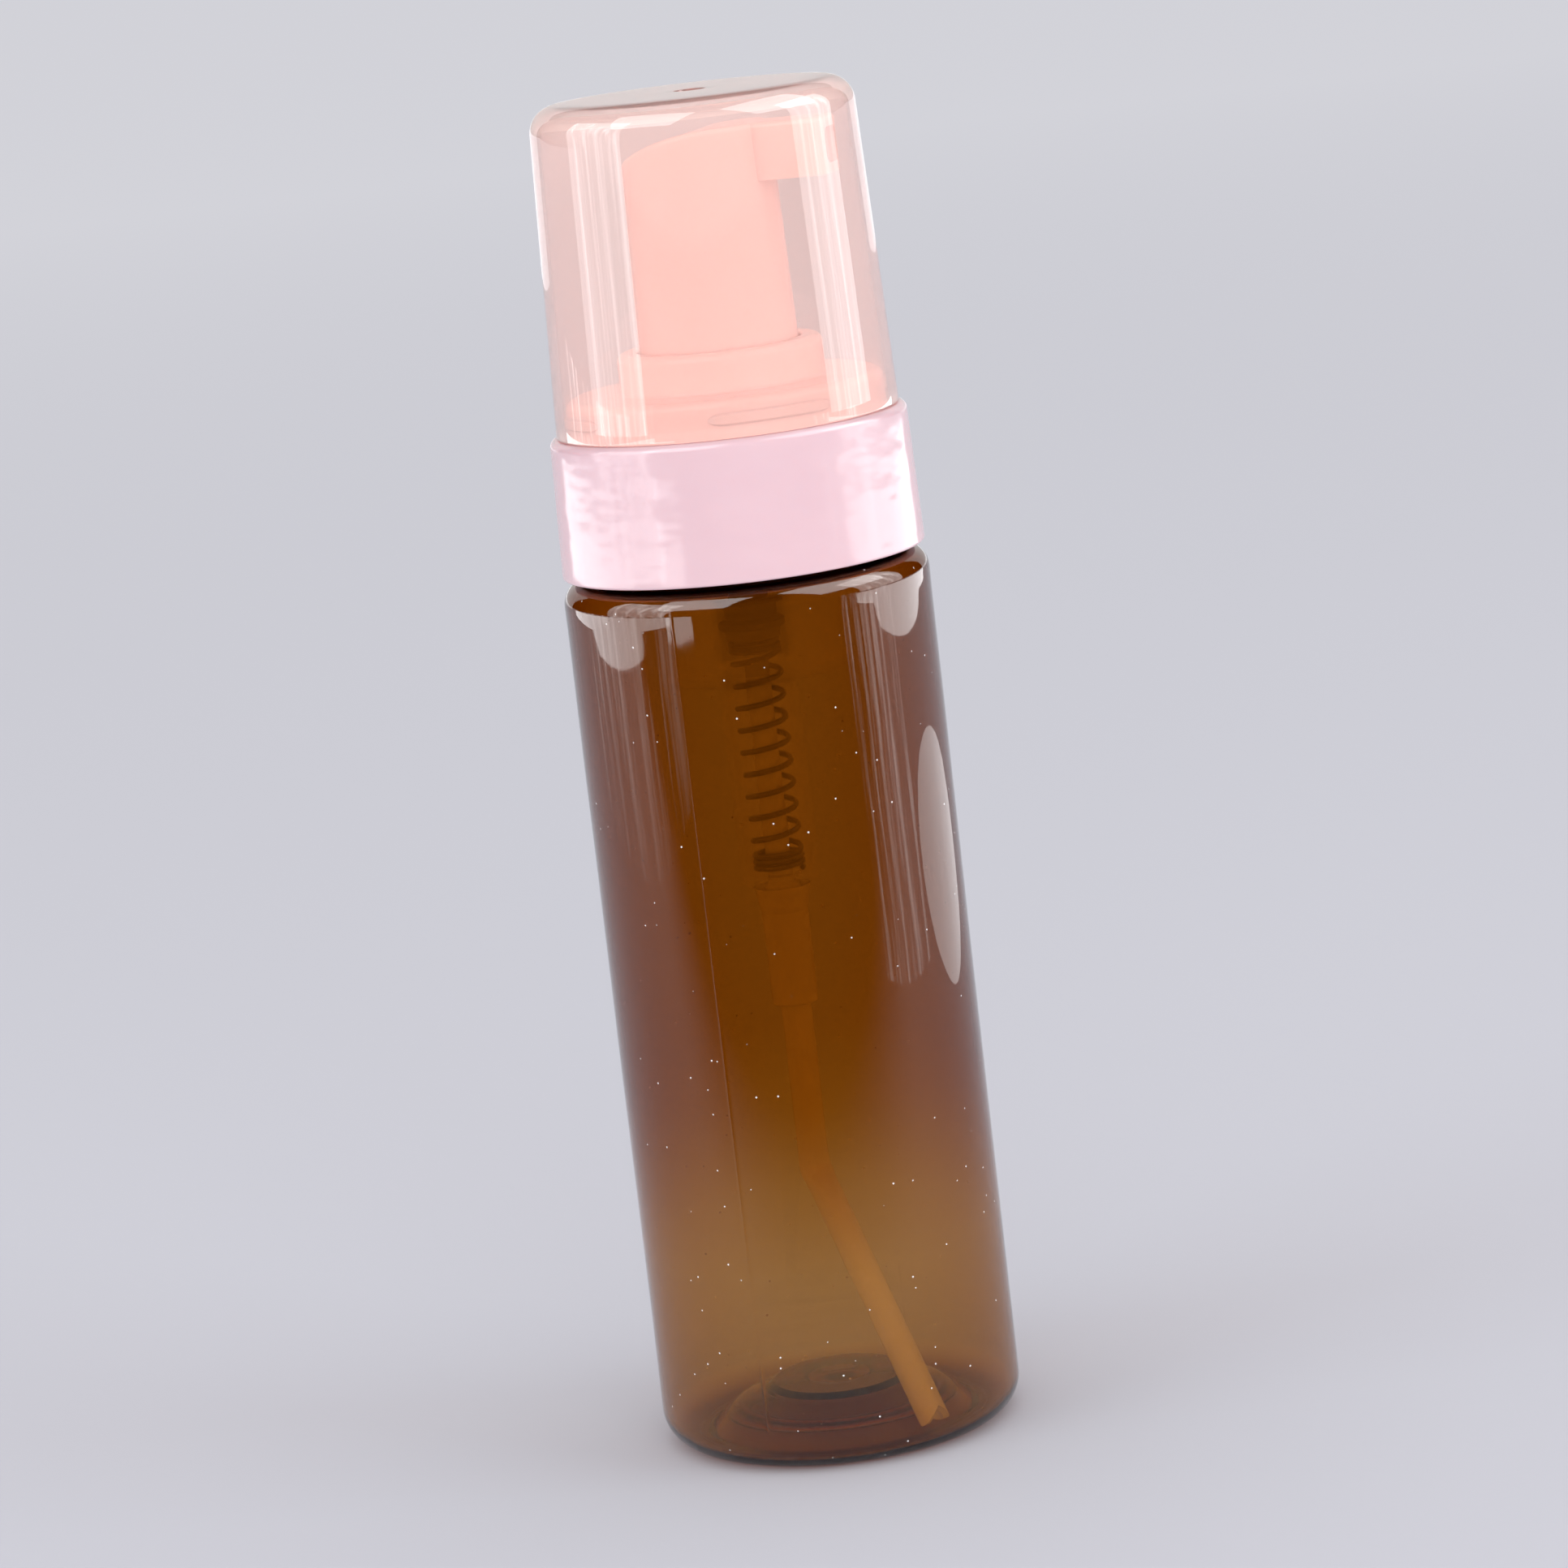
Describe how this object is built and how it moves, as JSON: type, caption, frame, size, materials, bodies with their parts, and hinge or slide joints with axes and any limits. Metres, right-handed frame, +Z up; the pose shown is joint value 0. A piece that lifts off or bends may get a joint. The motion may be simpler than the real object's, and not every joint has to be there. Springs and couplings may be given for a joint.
{
  "type": "foaming soap pump bottle",
  "caption": "Amber bottle with a screw-on foaming soap pump: press-down spout head, air and liquid pistons, return spring, valve balls, dip tube and clear pink overcap.",
  "frame": {"origin": "centre of the face the bottle stands on", "axes": "+Z up along the bottle and pump axis, +X the way the spout points"},
  "size_m": [0.047, 0.047, 0.1746],
  "materials": {
    "amber_pet": "clear tinted gloss",
    "clear_pink_cap": "clear gloss",
    "pink_collar": "gloss",
    "peach_pink_pp": "satin gloss",
    "natural_pp": "translucent",
    "natural_pe": "translucent",
    "white_foam_gasket": "matt",
    "steel": "drawn wire",
    "white_pp": "satin",
    "silicone": "matt",
    "nylon_mesh": "woven"
  },
  "bodies": {
    "bottle": {"bottle": "amber_pet"},
    "pump": {"pump_housing": "natural_pp", "neck_gasket": "white_foam_gasket", "chaplet": "peach_pink_pp", "dip_tube": "natural_pe", "return_spring": "steel"},
    "collar": {"screw_collar": "pink_collar"},
    "cap": {"overcap": "clear_pink_cap"},
    "plunger": {"lower_stem": "white_pp", "liquid_piston": "natural_pe"},
    "air_cup": {"air_piston": "natural_pe", "air_flap": "silicone"},
    "head": {"actuator": "peach_pink_pp", "upper_stem": "white_pp", "mixing_plug": "white_pp", "screen_holder": "white_pp", "coarse_screen": "nylon_mesh", "fine_screen": "nylon_mesh"},
    "suction_poppet": {"inlet_poppet": "natural_pe"},
    "delivery_ball": {"outlet_ball": "steel"}
  },
  "joints": [
    {"name": "pump_lift", "type": "slide", "parent": "bottle", "child": "pump", "axis": [0, 0, 1], "range_m": [0, 0.00525]},
    {"name": "collar_turn", "type": "hinge", "parent": "pump", "child": "collar", "pos_m": [0, 0, 0.12], "axis": [0, 0, 1], "range_deg": [0, 450]},
    {"name": "cap_lift", "type": "slide", "parent": "pump", "child": "cap", "axis": [0, 0, 1], "range_m": [0, 0.05]},
    {"name": "pump_press", "type": "slide", "parent": "pump", "child": "plunger", "axis": [0, 0, 1], "range_m": [-0.013, 0], "stiffness_N_per_m": 1300, "springref_m": 0.006, "deforming": ["return_spring"]},
    {"name": "air_piston_lag", "type": "slide", "parent": "plunger", "child": "air_cup", "axis": [0, 0, 1], "range_m": [0, 0.0008]},
    {"name": "head_turn", "type": "hinge", "parent": "plunger", "child": "head", "pos_m": [0, 0, 0.15], "axis": [0, 0, 1], "continuous": true},
    {"name": "suction_poppet_lift", "type": "slide", "parent": "pump", "child": "suction_poppet", "axis": [0, 0, 1], "range_m": [0, 0.0012]},
    {"name": "delivery_ball_lift", "type": "slide", "parent": "plunger", "child": "delivery_ball", "axis": [0, 0, 1], "range_m": [0, 0.001]}
  ],
  "couplings": [
    {"joint": "pump_lift", "follows": "collar_turn", "m_per_rad": 0.00066845}
  ]
}
